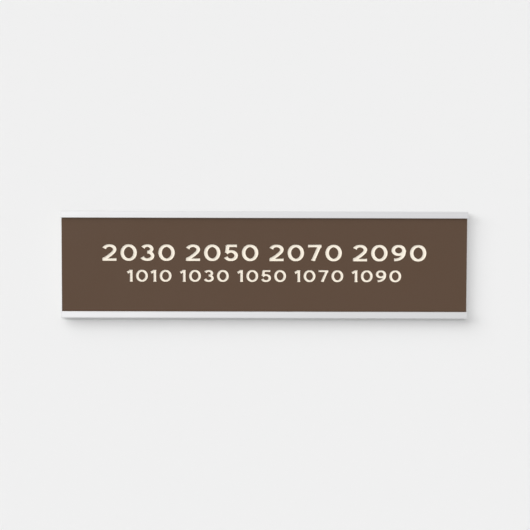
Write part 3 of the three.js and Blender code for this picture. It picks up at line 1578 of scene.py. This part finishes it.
@dataclass(frozen=True)
class SunLamp:
    """A distant soft lamp.

    Attributes:
        name: The lamp's name.
        towards: The direction from the plate to the lamp.
        strength: Its strength.
        spread: The angle that it fills, in degrees.
        behind: True if it shines through the door, so that its light isn't thrown back onto it.
    """

    name: str
    towards: Triple
    strength: float
    spread: float
    behind: bool = False

    def place(self) -> None:
        """Adds the lamp to the scene, with no highlight of its own, as behind a wide diffuser."""
        lamp = bpy.data.lights.new(self.name, "SUN")
        lamp.energy = self.strength
        lamp.angle = math.radians(self.spread)
        if self.behind:
            lamp.use_nodes = True
            graph = Graph(lamp.node_tree)
            bounces = graph.add("ShaderNodeLightPath").outputs["Diffuse Depth"]
            first_only = graph.remap(bounces, (1.0, 0.0))
            lamp.node_tree.links.new(first_only, lamp.node_tree.nodes["Emission"].inputs["Strength"])
        held = as_object(self.name, lamp)
        held.rotation_euler = Vector(self.towards).to_track_quat("Z", "Y").to_euler()
        held.visible_glossy = False


@dataclass
class Studio:
    """The door, the floor, the lamps and the camera.

    Attributes:
        lamps: Every lamp.
        ambient: How strongly the surroundings light the plate.
        backdrop: How bright they look, which is the door paint's tone.
        band_gain: How much brighter a band at the left of them looks in the metal.
        band_start: The sideways directions between which that band comes in.
        band_end: The sideways directions between which it fades again.
        band_depth: The depthways directions between which it fades, so that it stays in front.
        band_foot: The upward directions between which it comes in, so that it stays off the ground.
        rise: How much brighter they look from straight above.
        wall_gap: How far the door's surface lies behind the pads, so that the two don't coincide.
        wall_size: The door wall's width and height.
        drop: How far below the plate the floor lies.
        distance: The camera's distance from the plate.
        elevation: How far above the horizon the camera stands, in degrees.
        azimuth: How far it stands to the right, in degrees.
        roll: How far it is rolled, in degrees.
        half_view: Half of its angle of view, in degrees.
        aim: The point that it looks at.
    """

    lamps: tuple[SunLamp, ...] = (
        SunLamp("key", (-0.92, -1.0, 0.95), 1.50, 49.6),
        SunLamp("side_key", (-2.22, -1.0, 0.80), 0.30, 16.3),
        SunLamp("lower_key", (-1.18, -1.0, 0.53), 0.166, 4.0),
        SunLamp("top_fill", (0.10, -1.0, 1.0), 0.15, 18.4),
        SunLamp("upper_fill", (0.07, -1.0, 0.29), 0.445, 4.4),
        SunLamp("front_fill", (-0.11, -1.0, 0.03), 1.39, 4.8),
        SunLamp("rear_key", (0.55, 0.75, 0.55), 2.3, 40.0, behind=True),
        SunLamp("rear_fill", (-0.7, 0.65, 0.2), 1.1, 40.0, behind=True),
        SunLamp("side_fill", (1.0, 0.3, 0.25), 0.9, 24.0, behind=True),
    )
    ambient: float = 0.03
    backdrop: float = 0.87
    band_gain: float = 0.92
    band_start: Point = (-0.28, 0.05)
    band_end: Point = (-0.56, -0.32)
    band_depth: Point = (0.1, 0.5)
    band_foot: Point = (-0.5, -0.2)
    rise: float = 0.05
    wall_gap: float = 0.1 * MM
    wall_size: Point = (6.0, 5.0)
    drop: float = 1.5
    distance: float = 0.7
    elevation: float = 3.5
    azimuth: float = -0.14
    roll: float = 0.145
    half_view: float = 10.722
    aim: Triple = (0.35 * MM, -4.5 * MM, -0.09 * MM)

    def plane(self, name: str, corners: Sequence[Triple], paint: PalePaint) -> None:
        """Adds a pale surface that only shows and takes shadow, and lights nothing.

        Args:
            name: Its name.
            corners: Its corners, anticlockwise as seen from its painted side.
            paint: Its paint.
        """
        mesh = bpy.data.meshes.new(name)
        mesh.from_pydata(corners, [], [range(len(corners))])
        mesh.materials.append(paint.material)
        surface = as_object(name, mesh)
        surface.visible_diffuse = False
        surface.visible_glossy = False
        surface.visible_transmission = False
        surface.visible_shadow = False

    def surroundings(self) -> None:
        """Makes pale surroundings, whose reflection is brighter at the left, and which light softly."""
        world = bpy.data.worlds.new("studio")
        bpy.context.scene.world = world
        world.use_nodes = True
        graph = Graph(world.node_tree)
        rays = graph.add("ShaderNodeLightPath").outputs
        mirrored = graph.math("MAXIMUM", rays["Is Glossy Ray"], rays["Is Transmission Ray"])
        seen = graph.math("MAXIMUM", rays["Is Camera Ray"], mirrored)
        straight_seen = graph.math("SUBTRACT", seen, rays["Diffuse Depth"])
        across, depth, height = graph.parts(graph.add("ShaderNodeTexCoord").outputs["Generated"])
        fades = (
            graph.remap(across, (self.band_gain, 0.0), self.band_start),
            graph.remap(across, (0.0, 1.0), self.band_end),
            graph.remap(depth, (1.0, 0.0), self.band_depth),
            graph.remap(height, (0.0, 1.0), self.band_foot),
        )
        band = functools.reduce(functools.partial(graph.math, "MULTIPLY"), fades)
        extra = graph.math("ADD", band, graph.math("MULTIPLY", height, self.rise))
        tone = graph.math("ADD", graph.math("MULTIPLY", extra, mirrored), 1.0)
        level = graph.remap(straight_seen, (self.ambient, self.backdrop))
        background = world.node_tree.nodes["Background"]
        background.inputs["Color"].default_value = (1.0, 1.0, 1.0, 1.0)
        world.node_tree.links.new(graph.math("MULTIPLY", level, tone), background.inputs["Strength"])

    def camera(self) -> None:
        """Stands the camera where the photograph was taken from."""
        azimuth, elevation, roll = (math.radians(a) for a in (self.azimuth, self.elevation, self.roll))
        level = math.cos(elevation)
        back = Vector((math.sin(azimuth) * level, -math.cos(azimuth) * level, math.sin(elevation)))
        right = Vector((0.0, 0.0, 1.0)).cross(back).normalized()
        rolled = right * math.cos(roll) + back.cross(right) * math.sin(roll)
        axes = Matrix((rolled, back.cross(rolled), back)).transposed().to_4x4()
        data = bpy.data.cameras.new("camera")
        data.lens = data.sensor_width / 2 / math.tan(math.radians(self.half_view))
        held = as_object("camera", data)
        held.matrix_world = Matrix.Translation(Vector(self.aim) + back * self.distance) @ axes
        bpy.context.scene.camera = held

    def build(self) -> None:
        """Sets the whole studio up."""
        half, height = self.wall_size[0] / 2, self.wall_size[1]
        y, z = self.wall_gap, -self.drop
        wall = [(-half, y, z), (half, y, z), (half, y, z + height), (-half, y, z + height)]
        floor = [(-half, -height, z), (half, -height, z), (half, height, z), (-half, height, z)]
        self.plane("door_surface", wall, DOOR_PAINT)
        self.plane("floor", floor, FLOOR_PAINT)
        for lamp in self.lamps:
            lamp.place()
        self.surroundings()
        self.camera()
        bpy.context.scene.view_settings.view_transform = "Standard"
        log.info("studio: %d lamps", len(self.lamps))


def main() -> None:
    """Builds the name plate and its studio."""
    logging.basicConfig(level=logging.INFO, format="%(name)s: %(message)s")
    studio = Studio()
    studio.build()
    screws = Screws()
    Channel().build(screws)
    Insert().build()
    FoamPads().build()
    screws.build()


if __name__ == "__main__":
    main()
